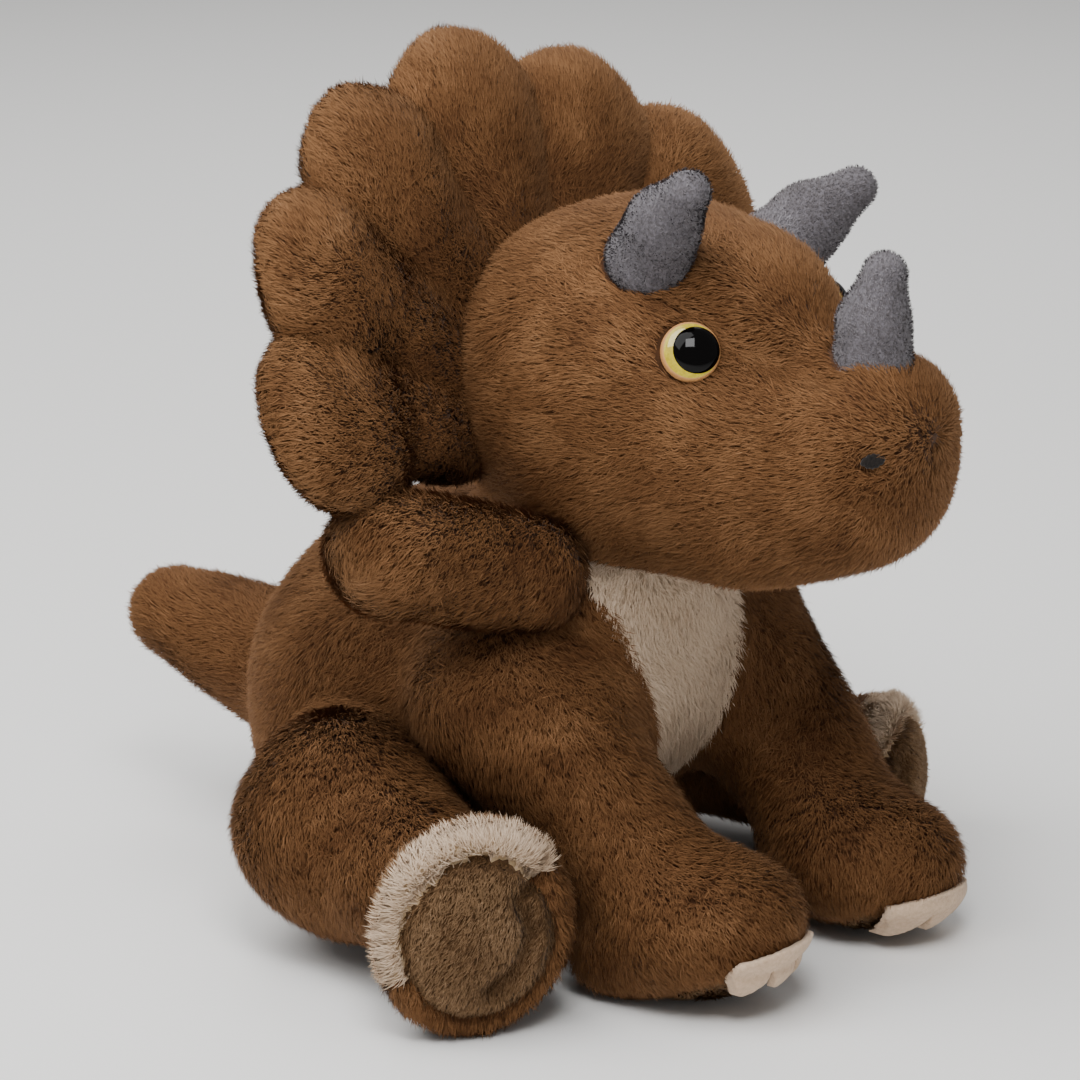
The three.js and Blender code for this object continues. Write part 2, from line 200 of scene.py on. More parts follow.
def smoothed(points, quads):
    """Each point moves to the middle of its neighbours along the mesh."""
    total = np.zeros_like(points)
    count = np.zeros(len(points))
    for a, b in zip((0, 1, 2, 3), (1, 2, 3, 0)):
        np.add.at(total, quads[:, a], points[quads[:, b]])
        np.add.at(count, quads[:, a], 1)
        np.add.at(total, quads[:, b], points[quads[:, a]])
        np.add.at(count, quads[:, b], 1)
    return total / count[:, None]


def net(field, low, high, pitch):
    """An even mesh of quads over the field's surface, from a grid of samples between two corners."""
    low = np.array(low, float)
    shape = np.ceil((np.array(high, float) - low) / pitch).astype(int) + 1
    axes = [low[i] + pitch * np.arange(shape[i]) for i in range(3)]
    samples = np.stack(np.meshgrid(*axes, indexing="ij"), axis=-1).reshape(-1, 3)
    inside = (field(samples) < 0).reshape(shape)

    corners = [inside[x : shape[0] - 1 + x, y : shape[1] - 1 + y, z : shape[2] - 1 + z]
               for x, y, z in itertools.product((0, 1), repeat=3)]
    count = sum(corner.astype(int) for corner in corners)
    cells = (count > 0) & (count < 8)
    number = np.full(cells.shape, -1)
    number[cells] = np.arange(cells.sum())
    points = low + pitch * (np.argwhere(cells) + 0.5)

    quads = []
    for axis in range(3):
        ahead = np.moveaxis(inside, axis, 0)
        cell = np.moveaxis(number, axis, 0)
        change = ahead[:-1, 1:-1, 1:-1] != ahead[1:, 1:-1, 1:-1]
        i, j, k = np.nonzero(change)
        j, k = j + 1, k + 1
        ring = np.stack([cell[i, j - 1, k - 1], cell[i, j, k - 1], cell[i, j, k], cell[i, j - 1, k]], axis=1)
        outward = ahead[i, j, k] != (axis == 1)
        ring[~outward] = ring[~outward][:, ::-1]
        quads.append(ring)
    quads = np.concatenate(quads)

    for _ in range(3):
        points = settle(field, smoothed(points, quads), 1)
    return settle(field, points, 2), quads


def mesh_object(name, points, faces, materials):
    mesh = bpy.data.meshes.new(name)
    mesh.from_pydata((points * MM).tolist(), [], faces.tolist())
    mesh.polygons.foreach_set("use_smooth", np.ones(len(faces), bool))
    for material in materials:
        mesh.materials.append(material)
    mesh.update()
    made = bpy.data.objects.new(name, mesh)
    bpy.context.scene.collection.objects.link(made)
    return made


def parted(points, faces, mask):
    """The faces that a mask keeps, with only their own points."""
    kept = faces[mask]
    used, renumbered = np.unique(kept, return_inverse=True)
    return points[used], renumbered.reshape(kept.shape)


# ---- colours and materials ------------------------------------------------------------------


def colour(code):
    """A linear colour from a six-figure web colour."""
    parts = [int(code[i : i + 2], 16) / 255 for i in (0, 2, 4)]
    return tuple(p / 12.92 if p <= 0.04045 else ((p + 0.055) / 1.055) ** 2.4 for p in parts) + (1.0,)


BROWN_SHADES = ["351e0d", "422813", "50321a", "5e3d22", "6d4a2c", "7d5838", "8e6847", "a07a58"]
SOLE_SHADES = ["33200f", "453019", "553d26", "654b32", "765b40", "886c50", "9a7e61", "ac9173"]
CREAM_SHADES = ["8d7257", "9c8166", "aa9075", "b69c82", "c2a98f", "cdb59c", "d7c1a9", "e0cdb7"]
GREY_SHADES = ["433e3e", "4d4848", "575253", "625d5f", "6d686b", "787477", "848084", "918e92"]


def principled(name, code, roughness, sheen=0.0, tint="ffffff"):
    material = bpy.data.materials.new(name)
    material.use_nodes = True
    shader = material.node_tree.nodes["Principled BSDF"]
    shader.inputs["Base Color"].default_value = colour(code)
    shader.inputs["Roughness"].default_value = roughness
    shader.inputs["Specular IOR Level"].default_value = 0.15
    shader.inputs["Sheen Weight"].default_value = sheen
    shader.inputs["Sheen Roughness"].default_value = 0.5
    shader.inputs["Sheen Tint"].default_value = colour(tint)
    return material


def pile_materials(name, codes):
    """One material for each shade of a strand, from the darkest to the lightest."""
    lightest = codes[-1]
    return [principled(f"{name}_{i}", code, 0.8, 0.25, lightest) for i, code in enumerate(codes)]


def mottled(name, dark, light, scale, relief_height=0.3, roughness=0.9, sheen=0.2):
    """Cloth with soft patches of two colours and a fine raised grain, both by position in metres."""
    material = principled(name, light, roughness, sheen)
    nodes, links = material.node_tree.nodes, material.node_tree.links
    shader = nodes["Principled BSDF"]
    place = nodes.new("ShaderNodeTexCoord")
    patches = nodes.new("ShaderNodeTexNoise")
    patches.inputs["Scale"].default_value = scale
    patches.inputs["Detail"].default_value = 6
    patches.inputs["Roughness"].default_value = 0.7
    ramp = nodes.new("ShaderNodeValToRGB")
    ramp.color_ramp.elements[0].position = 0.3
    ramp.color_ramp.elements[0].color = colour(dark)
    ramp.color_ramp.elements[1].position = 0.7
    ramp.color_ramp.elements[1].color = colour(light)
    grain = nodes.new("ShaderNodeTexNoise")
    grain.inputs["Scale"].default_value = scale * 4
    grain.inputs["Detail"].default_value = 4
    relief = nodes.new("ShaderNodeBump")
    relief.inputs["Strength"].default_value = relief_height
    relief.inputs["Distance"].default_value = 0.0006
    links.new(place.outputs["Object"], patches.inputs["Vector"])
    links.new(place.outputs["Object"], grain.inputs["Vector"])
    links.new(patches.outputs["Fac"], ramp.inputs["Fac"])
    links.new(ramp.outputs["Color"], shader.inputs["Base Color"])
    links.new(grain.outputs["Fac"], relief.inputs["Height"])
    links.new(relief.outputs["Normal"], shader.inputs["Normal"])
    return material


PILES = {
    "brown": pile_materials("brown_pile", BROWN_SHADES),
    "sole": pile_materials("sole_pile", SOLE_SHADES),
    "cream": pile_materials("cream_pile", CREAM_SHADES),
    "grey": pile_materials("grey_fuzz", GREY_SHADES),
}
BACKINGS = {
    "brown": mottled("brown_backing", "38210f", "50321b", 300),
    "sole": mottled("sole_backing", "3a2613", "5a4026", 300),
    "cream": mottled("cream_backing", "927a5a", "b49b7a", 300),
    "grey": mottled("grey_felt", "4c4747", "78747a", 900, 0.5),
    "felt": mottled("cream_felt", "bda085", "d8bda2", 900, 0.5),
}
FIBRE = mottled("fibre_filling", "cfccc4", "f2f0ea", 150)


# ---- pile: strands that stand on a skin ----------------------------------------------------


def scattered(points, quads, density, rng):
    """Random points over a mesh, `density` of them on each square millimetre."""
    triangles = np.concatenate([quads[:, [0, 1, 2]], quads[:, [0, 2, 3]]])
    a, b, c = (points[triangles[:, i]] for i in range(3))
    area = length(np.cross(b - a, c - a)) / 2
    count = int(area.sum() * density)
    chosen = np.searchsorted(np.cumsum(area), rng.uniform(0, area.sum(), count))
    u, v = rng.uniform(size=(2, count))
    over = u + v > 1
    u[over], v[over] = 1 - u[over], 1 - v[over]
    return a[chosen] + (b - a)[chosen] * u[:, None] + (c - a)[chosen] * v[:, None]


def hashed(cells, seed):
    """Three numbers from 0 to 1 for each cell of a grid, the same each time."""
    keys = np.array([[127.1, 311.7, 74.7], [269.5, 183.3, 246.1], [113.5, 271.9, 124.6]])
    stretch = 43758.5453  # large enough that the sines' digits look random
    value = np.sin(cells @ keys.T + seed) * stretch
    return value - np.floor(value)


def nearest_tuft(points, size, seed):
    """The centre of the tuft that each point belongs to, and a number from 0 to 1 for it."""
    cell = np.floor(points / size)
    best = np.full(len(points), np.inf)
    centre = np.zeros_like(points)
    mark = np.zeros(len(points))
    for step in itertools.product((-1, 0, 1), repeat=3):
        home = cell + np.array(step)
        spot = (home + hashed(home, seed)) * size
        away = ((points - spot) ** 2).sum(axis=1)
        closer = away < best
        best[closer] = away[closer]
        centre[closer] = spot[closer]
        mark[closer] = hashed(home[closer], seed + 17)[:, 0]
    return centre, mark


class Coat:
    """How a stretch of pile looks, in millimetres and degrees.

    Strands stand `density` to a square millimetre and lean over by `lean`. Those within a tuft pull
    together, `shade` is the middle one of their colours, and `wild` strays from the brushed way.
    """

    def __init__(self, pile, length=4.6, density=5.0, width=0.3, lean=62, tuft=2.4, pull=0.3,
                 shade=3.6, spread=0.5, wild=0.3):
        self.pile = pile
        self.length = length
        self.density = density
        self.width = width
        self.lean = lean
        self.tuft = tuft
        self.pull = pull
        self.shade = shade
        self.spread = spread
        self.wild = wild


def strands(roots, normals, flow, coat, shade, rng, seed):
    """Points, shades and shading normals of one bent, tapering blade for each root."""
    count = len(roots)
    flow = flow - normals * (flow * normals).sum(axis=1)[:, None]
    swirl = np.stack([waves(roots, 14, seed + i) for i in range(3)], axis=1)
    flow = unit(unit(flow) + 0.35 * swirl + coat.wild * rng.normal(size=(count, 3)))
    flow = unit(flow - normals * (flow * normals).sum(axis=1)[:, None])
    centre, mark = nearest_tuft(roots, coat.tuft, seed)
    pull = centre - roots
    pull -= normals * (pull * normals).sum(axis=1)[:, None]

    # A strand rises more steeply up to its bend, at half its length, and lies flatter beyond it.
    lean = np.radians(coat.lean) + 0.12 * rng.normal(size=count) + 0.2 * (mark - 0.5)
    first = normals * np.cos(lean * 0.85)[:, None] + flow * np.sin(lean * 0.85)[:, None]
    second = normals * np.cos(lean * 1.2)[:, None] + flow * np.sin(lean * 1.2)[:, None]
    reach = coat.length * rng.uniform(0.75, 1.15, count) * (0.85 + 0.3 * mark)
    middle = roots + first * (reach * 0.5)[:, None] + pull * coat.pull * 0.5
    tip = middle + second * (reach * 0.5)[:, None] + pull * coat.pull * 0.7

    across = unit(np.cross(tip - roots, normals))
    twist = rng.normal(scale=0.2, size=count)
    across = unit(across * np.cos(twist)[:, None] + normals * np.sin(twist)[:, None])
    half = coat.width * rng.uniform(0.7, 1.3, count)[:, None] / 2
    foot = roots - normals * 0.4
    points = np.stack([foot - across * half, foot + across * half,
                       middle + across * half * 0.85, middle - across * half * 0.85, tip], axis=1)
    light = shade + coat.spread * (mark - 0.5) * 1.2 + 0.5 * coat.spread * rng.normal(size=count)
    light += 0.8 * coat.spread * waves(roots, 9, seed + 5)
    facing = unit(normals + 0.15 * flow + 0.1 * rng.normal(size=(count, 3)))
    return points, light, facing


def pile_mesh(name, points, light, facing, coat):
    """One mesh of all the blades: a quad from the root to the bend and a triangle to the tip."""
    count = len(points)
    across = np.cross(points[:, 1] - points[:, 0], points[:, 3] - points[:, 0])
    flipped = (across * facing).sum(axis=1) < 0
    points[flipped] = points[flipped][:, [1, 0, 3, 2, 4]]

    mesh = bpy.data.meshes.new(name)
    mesh.vertices.add(count * 5)
    mesh.vertices.foreach_set("co", (points * MM).astype(np.float32).ravel())
    base = np.arange(count)[:, None] * 5
    mesh.loops.add(count * 7)
    mesh.loops.foreach_set("vertex_index", (base + np.array([0, 1, 2, 3, 3, 2, 4])).astype(np.int32).ravel())
    mesh.polygons.add(count * 2)
    starts = np.arange(count)[:, None] * 7 + np.array([0, 4])
    mesh.polygons.foreach_set("loop_start", starts.astype(np.int32).ravel())
    mesh.polygons.foreach_set("use_smooth", np.ones(count * 2, bool))
    last = len(PILES[coat.pile]) - 1
    slots = np.stack([light - 0.7, light + 0.3], axis=1)
    mesh.polygons.foreach_set("material_index", np.clip(np.rint(slots), 0, last).astype(np.int32).ravel())
    for material in PILES[coat.pile]:
        mesh.materials.append(material)
    mesh.update(calc_edges=True)
    mesh.normals_split_custom_set_from_vertices(np.repeat(facing, 5, axis=0))
    made = bpy.data.objects.new(name, mesh)
    bpy.context.scene.collection.objects.link(made)
    return made


def pile(name, points, quads, field, flow, coat, seed, bare=(), shading=None):
    """The pile of one skin, with none where a `bare` field is below zero."""
    rng = np.random.default_rng(seed)
    density = coat.density
    roots = scattered(points, quads, density, rng)
    for keep_off in bare:
        roots = roots[keep_off(roots) > 0]
    normals = gradient(field, roots)
    shade = np.full(len(roots), float(coat.shade))
    # Painted light and shade: `shading` makes strands lighter where light falls and darker where shade
    # gathers.
    if shading is not None:
        shade += shading(roots)
    blades, light, facing = strands(roots, normals, flow(roots), coat, shade, rng, seed)
    return pile_mesh(name, blades, light, facing, coat)


# ---- the animal's shapes -------------------------------------------------------------------------

# Middles and half sizes of the rounded forms of the head and the body.
SKULL = ((0, -39, 148), (52, 55, 50))
CHEEKS = ((0, -72, 138), (42, 38, 39))
SNOUT = ((0, -95, 137), (33, 35, 31))
NOSE = ((0, -107, 149), (25, 21, 18))
BELLY = ((0, 21, 51), (61, 59, 60))
CHEST = ((0, -20, 72), (43, 37, 38))

# Places on the left side; the right side mirrors them unless it is given on its own.
NECK = (0, -24, 100)
SHOULDER = (46, -28, 73)
HIP = (64, 9, 35)
# For each foot: its middle, the degrees that it turns outwards, and its half sizes.
FEET = {"right": ((90, -52, 28), 35, (26, 15, 28)), "left": ((84, -55, 22), 22, (26, 15, 22))}
WRIST = (38, -74, 25)
PAWS = {"right": (36, -84, 20), "left": (32, -87, 20)}
PAW_RADII = (25, 29, 20)
PAW_LIFT = {"right": 13, "left": 2}  # degrees that the claws' end is raised from the floor
HEEL = (43, -64, 12)
CLAW_LOW = {"right": 8.5, "left": 4}  # height of the claws' points
TAIL = ((0, 71, 45), 23, (-8, 119, 58), 14.5)  # the root and its radius, the tip and its radius

FRILL = (0, -23, 140)
FRILL_SWEEP = 10  # that the lobes at the side stand further back than the one at the crown
FRILL_HALF = 117  # its half width
FRILL_HEIGHT = 106
FRILL_LEAN = 33  # degrees back from upright
LOBE_STEP = 27  # degrees from one lobe to the next

EYE_RADIUS = 7.5
PUPIL_RADIUS = 6.0
PUPIL_SIDE_SHIFT = 1.2
PUPIL_UP_SHIFT = 0.1

# Opposite corners of the boxes in which the skins are netted, with the limbs' on the left side.
TORSO_BOX = ((-66, -66, -4), (66, 84, 132))
HEAD_BOX = ((-56, -136, 92), (56, 14, 204))
ARM_BOX = ((4, -122, -3), (78, 6, 104))
LEG_BOX = ((26, -76, -3), (122, 48, 76))
TAIL_BOX = ((-32, 36, 10), (32, 140, 82))


def facing_way(azimuth, height):
    """The way at an angle from -Y towards +X, and an angle up from level."""
    level = math.cos(math.radians(height))
    return np.array([level * math.sin(math.radians(azimuth)), -level * math.cos(math.radians(azimuth)),
                     math.sin(math.radians(height))])


def surface_point(lump, normal):
    """Where an ellipsoid faces a way."""
    centre, radii = np.array(lump[0], float), np.array(lump[1], float)
    return centre + normal * radii**2 / np.linalg.norm(normal * radii)


def inset(lump):
    """The ellipsoid that the skin follows under the outside of a lump."""
    return ellipsoid(lump[0], [radius - INSET for radius in lump[1]])


def eye_place(side):
    normal = facing_way(side * 44, 25)
    return surface_point(SKULL, normal), normal


def nostril_place(side):
    normal = facing_way(side * 39, 15)
    return surface_point(SNOUT, normal), normal


# The valley beside the bridge of the nose, from a brow horn to the nose horn.
BRIDGE_VALLEY = [(-24, -72, 180), (-22, -83, 171), (-16, -95, 164), (-14, -106, 161)]


def head_lumps():
    brow = ellipsoid((0, -66, 168), (24, 26, 24))
    field = melted([inset(SKULL), inset(CHEEKS), inset(SNOUT), inset(NOSE), brow], 10)
    for side in SIDES.values():
        spot, _ = eye_place(side)
        field = dented(field, spot, 1.6, 11)
        spot, _ = nostril_place(side)
        field = dented(field, spot, 1.5, 4)
        bridge = [mirrored(spot, -side) for spot in BRIDGE_VALLEY]
        field = creased(field, bridge, 3.0, 5.0)
    return stuffed(field, 3, 0.5)


HEAD = head_lumps()


def on_head(place):
    """The point of the head's skin nearest to a place."""
    return settle(HEAD, place[None], 5)[0]


FLOOR_CLEARANCE = 0.6


def seated(field):
    """The shape without what would reach into the floor."""
    return common(field, lambda points: FLOOR_CLEARANCE - points[:, 2])


def torso_lumps():
    neck = ellipsoid(NECK, (34, 34, 24))
    return stuffed(melted([inset(BELLY), inset(CHEST), neck], 16), 5, 0.8)


def arm_lumps(name):
    side = SIDES[name]
    shoulder, wrist, paw = (mirrored(p, side) for p in (SHOULDER, WRIST, PAWS[name]))
    upper = taper(shoulder, 24 - INSET, wrist, 20 - INSET)
    toes = ellipsoid(paw, [radius - INSET for radius in PAW_RADII], raised_axes(PAW_LIFT[name]))
    heel = ball(mirrored(HEEL, side), 12)
    body = stuffed(melted([upper, toes, heel], 10), 7, 0.6)

    def field(points):
        from_seam = points[:, 2] - paw_seam(points, paw)
        return body(points) + 1.1 * bump(from_seam / 1.8)

    return field


def paw_seam(points, paw):
    """Height of the seam round a paw's sole, which rises from the heel to the claws."""
    heel_height, rise, run = 3, 12, 34
    share = np.clip((paw[1] + 12 - points[:, 1]) / run, 0, 1)
    return heel_height + rise * share * share * (3 - 2 * share)


def leg_lumps(name):
    side = SIDES[name]
    foot, turn, radii = FEET[name]
    foot = np.array(mirrored(foot, side), float)
    ahead = facing_way(side * turn, 0)
    hip = mirrored(HIP, side)
    ankle = foot - ahead * 14
    thigh = taper(hip, 27 - INSET, ankle, 20 - INSET)
    toes = ellipsoid(foot, [radius - INSET + 1.2 for radius in radii], turned_axes(side * turn))
    body = melted([ball(hip, 31 - INSET), thigh, toes], 8)
    body = creased(body, sole_fold(name), 4.0, 2.8)

    def field(points):
        spread, outward, forward = foot_place(points, name)
        front = np.clip(forward / 4, 0, 1)
        seam = 1.5 * bump((spread - SOLE_EDGE) / 0.06)
        banded = 1 / (1 + np.exp(-band_share(outward) / 4))
        puff = 1.6 * banded * bump((spread - SOLE_EDGE - 0.22) / 0.16)
        return body(points) + front * (seam - puff)

    return stuffed(field, 9, 0.6)


SOLE_EDGE = 0.74  # how far out the sole's seam runs, as a share of the foot's size
# Where the cloth of a sole is drawn in: shares of the way towards the other foot and up.
SOLE_FOLD = [(0.14, -0.45), (0.4, -0.25), (0.5, 0.05), (0.4, 0.36), (0.6, 0.5)]


def sole_spot(side, radii, across, up):
    """A place on a sole, from its middle, by shares of the way towards the other foot and up."""
    forward = math.sqrt(1 - across * across - up * up) * (radii[1] - INSET - 0.5)
    return np.array([-side * across * radii[0], -forward, up * radii[2]])


def sole_fold(name):
    """The path of the fold on a sole."""
    side = SIDES[name]
    foot, turn, radii = FEET[name]
    foot = np.array(mirrored(foot, side), float)
    return [foot + sole_spot(side, radii, *spot) @ turned_axes(side * turn) for spot in SOLE_FOLD]


def fold_painted_shade(name):
    """Darker pile along the fold and round the edge of a sole, painted shade in the fold and in the seam's
    groove, with slightly lighter pile elsewhere.
    """
    from_fold = line(sole_fold(name))

    def result(points):
        from_edge = foot_place(points, name)[0] - SOLE_EDGE
        return 0.3 - 2.4 * bump(from_fold(points) / 2.6) - 2.0 * bump(from_edge / 0.07)

    return result


def foot_place(points, name):
    """Where points lie on a foot: how far out, at what angle from its outer side, how far forward."""
    side = SIDES[name]
    foot, turn, radii = FEET[name]
    local = (points - np.array(mirrored(foot, side), float)) @ turned_axes(side * turn).T
    across, up = local[:, 0] / radii[0], local[:, 2] / radii[2]
    return np.hypot(across, up), np.degrees(np.arctan2(up, side * across)), -local[:, 1]


def band_share(outward):
    """Above zero, in degrees, inside the toe band's span round the foot."""
    first, last = -25, 140
    return np.minimum(outward - first, last - outward)


def tail_lumps():
    root, root_radius, tip, tip_radius = TAIL
    return stuffed(taper(root, root_radius - INSET, tip, tip_radius - INSET), 11, 0.6)


# Each limb melts into the torso over its own softness, so that both skins share one surface there.
LIMBS = {
    "arm_right": (arm_lumps("right"), 22),
    "arm_left": (arm_lumps("left"), 22),
    "leg_right": (leg_lumps("right"), 7),
    "leg_left": (leg_lumps("left"), 7),
    "tail": (tail_lumps(), 10),
}
TORSO = torso_lumps()


def torso_field():
    def field(points):
        own = TORSO(points)
        result = own
        for limb, softness in LIMBS.values():
            pair = melted([lambda p: own, limb], softness)(points)
            result = np.minimum(result, pair)
        return result

    return seated(field)


def limb_field(limb):
    lumps, softness = LIMBS[limb]
    return seated(melted([TORSO, lumps], softness))


def limb_share(limb, points):
    """Below zero where the limb is nearer than the torso."""
    return LIMBS[limb][0](points) - TORSO(points)


# ---- the frill ---------------------------------------------------------------------------------

UP_FRILL = np.array([0, math.sin(math.radians(FRILL_LEAN)), math.cos(math.radians(FRILL_LEAN))])
FRONT_FRILL = np.array([0, -math.cos(math.radians(FRILL_LEAN)), math.sin(math.radians(FRILL_LEAN))])


def frill_point(angle, share, front=0.0):
    """A point of the frill: an angle from the crown, towards the left side, and a share of the way out."""
    across = np.array([FRILL_HALF * share * math.sin(math.radians(angle)), 0, 0])
    up = UP_FRILL * FRILL_HEIGHT * share * math.cos(math.radians(angle))
    back = np.array([0, FRILL_SWEEP * (1 - math.cos(math.radians(angle))), 0])
    return np.array(FRILL, float) + across + up + back + FRONT_FRILL * front


def lobe_axes(angle, cup=0.0):
    """Rows are the axes across, along and through a lobe, which cups forward by some degrees."""
    out = unit((frill_point(angle, 1) - frill_point(angle, 0))[None])[0]
    tilt = math.radians(cup)
    along = out * math.cos(tilt) + FRONT_FRILL * math.sin(tilt)
    through = FRONT_FRILL * math.cos(tilt) - out * math.sin(tilt)
    return np.array([np.cross(along, through), along, through])


def lobe_field(angle):
    seed = 300 + angle
    lowest = abs(angle) > 100
    if lowest:
        return stuffed(cheek_lobe(math.copysign(1, angle)), seed, 0.7, 16)
    reach = 0.74 if angle > 0 else 0.76  # the left side's lobes stand out a little less
    outer = ellipsoid(frill_point(angle, reach, 1), (25, 24, 11), lobe_axes(angle, 8))
    inner = ellipsoid(frill_point(angle, 0.47, -3), (17, 36, 9), lobe_axes(angle, 12))
    return stuffed(melted([outer, inner], 5), seed, 0.7, 16)


def cheek_lobe(side):
    """The lowest lobe lies along the jaw, over the shoulder, longer than it is wide."""
    inner = mirrored((48, -38, 108), side)
    outer = mirrored((85, -24, 119), side)
    return taper(inner, 13.5, outer, 15.5)


# ---- building the skins ------------------------------------------------------------------------

PITCH = 1.6  # of the skins' nets
FIBRE_DEPTH = 4  # from a skin to the filling under it


def riding(body):
    return lambda made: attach(made, body)


def bending(start, end):
    """Cloth that crosses a joint, with its placement baked into its points; it does not bend, and `start`
    and `end` are not used.
    """
    start, end = tuple(Vector(start) * MM), tuple(Vector(end) * MM)
    return lambda made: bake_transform(made)


def declare(made, move, slot, nodes=(), fill=None):
    if nodes:
        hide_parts(*nodes)
    move(made)


class Cloth:
    """A stretch of plush: its backing and pile, and a slot name, which is not used."""

    def __init__(self, backing, slot, coat, fill=0.85):
        self.backing = backing
        self.slot = slot
        self.coat = coat
        self.fill = fill


def plush(name, points, quads, field, flow, cloth, node, move, seed, bare=(), shading=None):
    """One sewn panel: the skin that stands for a CAD node, and the pile on it."""
    skin = mesh_object(f"{name}_skin", points, quads, [BACKINGS[cloth.backing]])
    declare(skin, move, cloth.slot, [node], cloth.fill)
    fur = pile(f"{name}_pile", points, quads, field, flow, cloth.coat, seed, bare, shading)
    declare(fur, move, cloth.slot)


def filling(node, points, quads, field, move):
    """The fibre inside a piece, a little under its cloth."""
    made = mesh_object(f"{node}_fibre", points - FIBRE_DEPTH * gradient(field, points), quads, [FIBRE])
    declare(made, move, "fibre_filling", [node])


def steady(way):
    """Pile that lies one way."""
    way = np.array(way, float)
    return lambda points: np.repeat(way[None], len(points), axis=0)


def brushed_down(way, share):
    """Pile that lies downwards, and by a share along a limb."""
    return steady(np.array([0, 0, -1.0]) + share * way / np.linalg.norm(way))


BROWN_PLUSH = Cloth("brown", "brown_plush", Coat("brown"))
FACE_PLUSH = Cloth("brown", "brown_plush", Coat("brown", length=4.2, lean=64, shade=4.0), 0.9)
CREAM_PLUSH = Cloth("cream", "cream_plush", Coat("cream", length=4.4, shade=4.4))
SOLE_PLUSH = Cloth("sole", "sole_plush", Coat("sole", length=2.8, lean=66, shade=3.4))
SEAT_CLEAR = 2.5  # the pile under the seat is pressed flat up to this height
PAW_CLEAR = 1.2  # and under the paws up to this one


def unpressed(points):
    """Below zero where the floor presses the pile flat."""
    return points[:, 2] - SEAT_CLEAR


def torso():
    field = torso_field()
    points, quads = net(field, *TORSO_BOX, PITCH)
    for limb in LIMBS:
        middle = points[quads].mean(axis=1)
        quads = quads[limb_share(limb, middle) > -1.0]
    x, y, z = points[quads].mean(axis=1).T
    half = np.interp(z, [14, 26, 62, 112], [4, 10, 16, 34])
    bib = (y < -20) & (np.abs(x) < half) & (z > 18)
    move = riding("torso")
    panel = parted(points, quads, ~bib)
    plush("torso", *panel, field, steady((0, 0.35, -1)), BROWN_PLUSH,
          "torso_cover", move, 31, [unpressed])
    panel = parted(points, quads, bib)
    plush("bib", *panel, field, steady((0, 0, -1)), CREAM_PLUSH, "belly_bib", move, 32)


def head():
    points, quads = net(HEAD, *HEAD_BOX, PITCH)
    filling("head_filling", points, quads, HEAD, riding("head"))
    bare = [grown(horn_field(name), 0.5) for name in HORNS]
    for side in SIDES.values():
        spot, normal = eye_place(side)
        bare.append(taper(spot - normal * 6, EYE_RADIUS + 0.2, spot + normal * 6, EYE_RADIUS + 0.2))
        spot, _ = nostril_place(side)
        bare.append(ball(on_head(spot), 2.6))
    plush("head", points, quads, HEAD, steady((0, 1, -0.15)), FACE_PLUSH,
          "head_cover", riding("head"), 33, bare)


def limb_skin(limb, box, side):
    """The net of one limb, as far as it shares the torso's surface."""
    low, high = np.array(box, float)
    if side < 0:
        low[0], high[0] = -high[0], -low[0]
    points, quads = net(limb_field(limb), low, high, PITCH)
    middle = points[quads].mean(axis=1)
    return points, quads[limb_share(limb, middle) < 2.5]


def arm(name, side):
    limb = f"arm_{name}"
    field = limb_field(limb)
    points, quads = limb_skin(limb, ARM_BOX, side)
    shoulder = np.array(mirrored(SHOULDER, side), float)
    paw = np.array(mirrored(PAWS[name], side), float)
    way = paw - shoulder
    move = bending(shoulder + way * 0.12, shoulder + way * 0.6)
    filling(f"arm_filling_{name}", points, quads, field, move)
    middle = points[quads].mean(axis=1)
    sole = (middle[:, 2] < paw_seam(middle, paw)) & (middle[:, 1] < paw[1] + 26)
    panel = parted(points, quads, ~sole)
    plush(limb, *panel, field, brushed_down(way, 1.0), BROWN_PLUSH,
          f"arm_cover_{name}", move, 35 + side)
    panel = parted(points, quads, sole)
    plush(f"paw_sole_{name}", *panel, field, lambda p: p - paw, SOLE_PLUSH,
          f"paw_sole_{name}", riding(limb), 38 + side, [lambda p: p[:, 2] - PAW_CLEAR])


def leg(name, side):
    limb = f"leg_{name}"
    field = limb_field(limb)
    points, quads = limb_skin(limb, LEG_BOX, side)
    foot = np.array(mirrored(FEET[name][0], side), float)
    hip = np.array(mirrored(HIP, side), float)
    spread, outward, forward = foot_place(points[quads].mean(axis=1), name)
    banded = band_share(outward) > 0
    # Both edges of the toe band are cut in waves, four and five to a full turn.
    edge = SOLE_EDGE + 0.05 * np.cos(np.radians(outward * 4))
    back = -4 + 3 * np.cos(np.radians(outward * 5))
    sole = (forward > 1) & (spread < SOLE_EDGE) & ((spread < edge) | ~banded)
    band = banded & ~sole & (forward > back) & (forward < 40) & (spread < 1.6)
    way = foot - hip
    move = bending(hip + way * 0.05, hip + way * 0.55)
    filling(f"leg_filling_{name}", points, quads, field, move)
    panel = parted(points, quads, ~(sole | band))
    plush(limb, *panel, field, brushed_down(way, 0.4), BROWN_PLUSH,
          f"leg_cover_{name}", move, 41 + side)
    panel = parted(points, quads, sole)
    # The sole's pile gets painted shade along its fold and round its seam.
    plush(f"foot_sole_{name}", *panel, field, steady((side * 0.5, 0, -1)), SOLE_PLUSH,
          f"foot_sole_{name}", riding(limb), 44 + side, (), fold_painted_shade(name))
    panel = parted(points, quads, band)
    plush(f"toe_band_{name}", *panel, field, lambda p: p - foot, CREAM_PLUSH,
          f"toe_band_{name}", riding(limb), 47 + side)


def tail():
    points, quads = limb_skin("tail", TAIL_BOX, 1)
    root, tip = np.array(TAIL[0], float), np.array(TAIL[2], float)
    way = tip - root
    move = bending(root + way * 0.1, root + way * 0.6)
    plush("tail", points, quads, limb_field("tail"), steady(way), BROWN_PLUSH, "tail_cover", move, 45)


